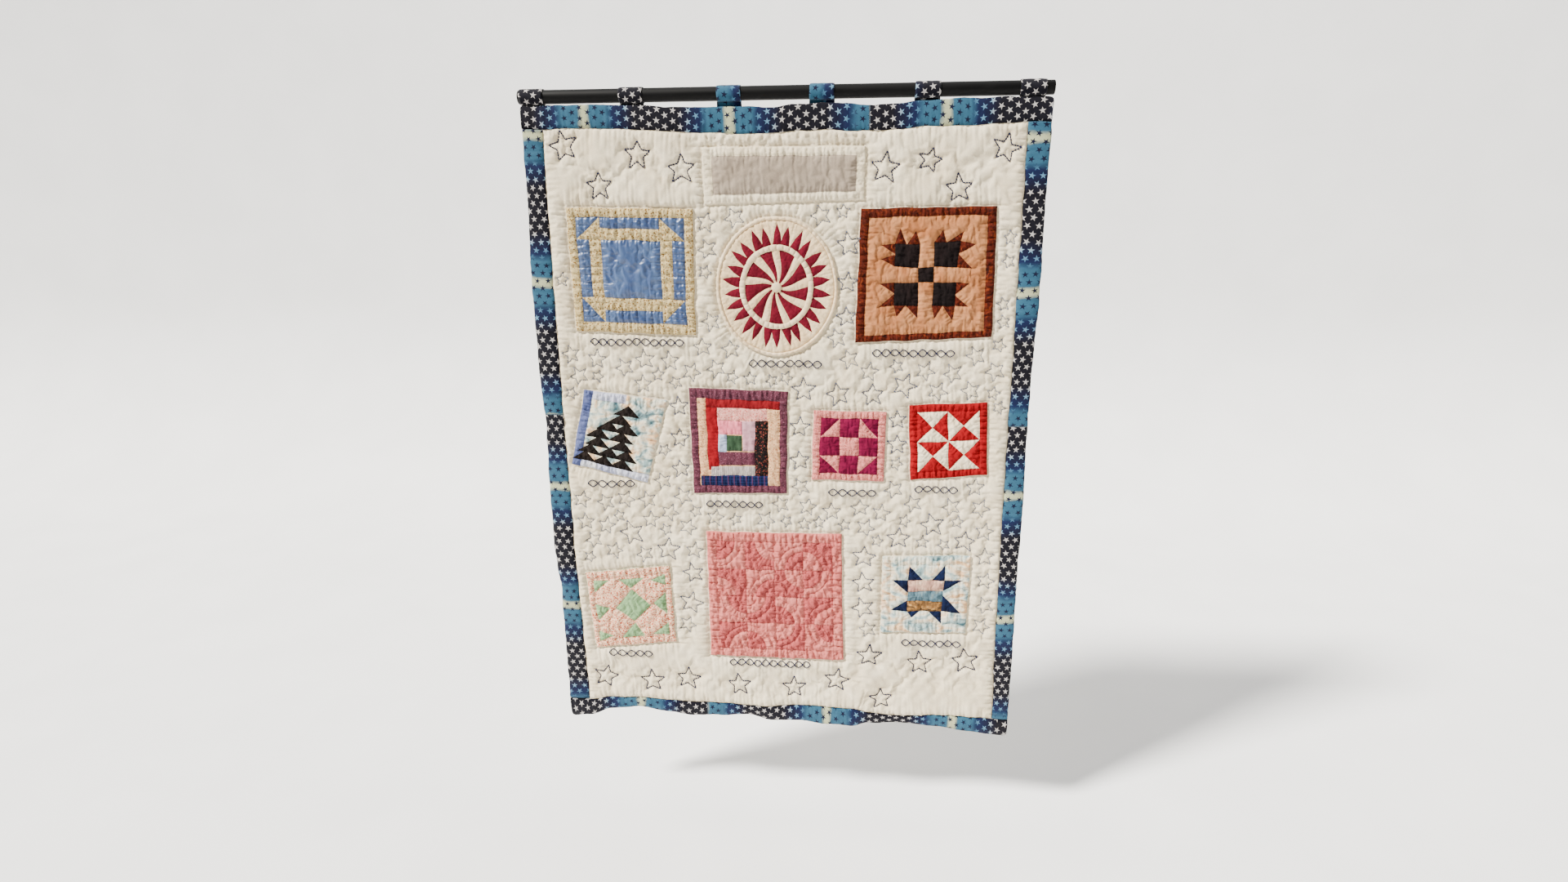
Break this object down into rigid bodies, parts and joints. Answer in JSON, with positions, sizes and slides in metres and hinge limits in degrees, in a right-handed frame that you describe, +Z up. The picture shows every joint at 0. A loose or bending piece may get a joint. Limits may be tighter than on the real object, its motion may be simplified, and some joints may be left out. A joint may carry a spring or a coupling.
{
  "type": "quilt on hanging rod",
  "caption": "Patchwork wall quilt with appliqued blocks on a star-quilted field and a star-printed border, hung by fabric tabs from a plain rod.",
  "frame": {"origin": "on the rod's axis, at the middle of its length", "axes": "+Z up, the quilt's front faces -Y, +X along the rod to the viewer's right"},
  "size_m": [1.2539, 0.0377, 1.6959],
  "materials": {
    "rod": "matte black paint",
    "border_cloth": "printed cotton, blue and black bands with small stars",
    "ground_cloth": "cream cotton, hand quilted",
    "label_cloth": "greyish cream cotton, hand quilted",
    "blue_patchwork": "blue satin and tan calico patches",
    "burgundy_patchwork": "burgundy and cream cotton patches",
    "wheel_trim": "cream bias strip and covered button",
    "brown_patchwork": "rust batik, peach and dark brown cotton patches",
    "sky_patchwork": "pale mottled print with dark triangles",
    "mauve_patchwork": "printed cotton strips in mauve, red, pink, tan and navy",
    "plum_patchwork": "plum and pink cotton patches",
    "red_patchwork": "red and cream cotton patches",
    "pink_patchwork": "pink calico and mint cotton patches",
    "rose_patchwork": "two rose cottons, crinkled",
    "mottled_patchwork": "pale mottled print with navy points"
  },
  "bodies": {
    "root": {"rod": "rod", "tab_1": "border_cloth", "tab_2": "border_cloth", "tab_3": "border_cloth", "tab_4": "border_cloth", "tab_5": "border_cloth", "tab_6": "border_cloth", "border_top": "border_cloth", "border_bottom": "border_cloth", "border_left": "border_cloth", "border_right": "border_cloth", "ground": "ground_cloth", "label_panel": "label_cloth", "block_churn_dash": "blue_patchwork", "block_wheel": "burgundy_patchwork", "wheel_rim": "wheel_trim", "wheel_ring": "wheel_trim", "wheel_hub": "wheel_trim", "block_paw": "brown_patchwork", "block_geese": "sky_patchwork", "block_cabin": "mauve_patchwork", "block_shoofly": "plum_patchwork", "block_bow_tie": "red_patchwork", "block_britches": "pink_patchwork", "block_curves": "rose_patchwork", "block_star": "mottled_patchwork"}
  },
  "joints": []
}
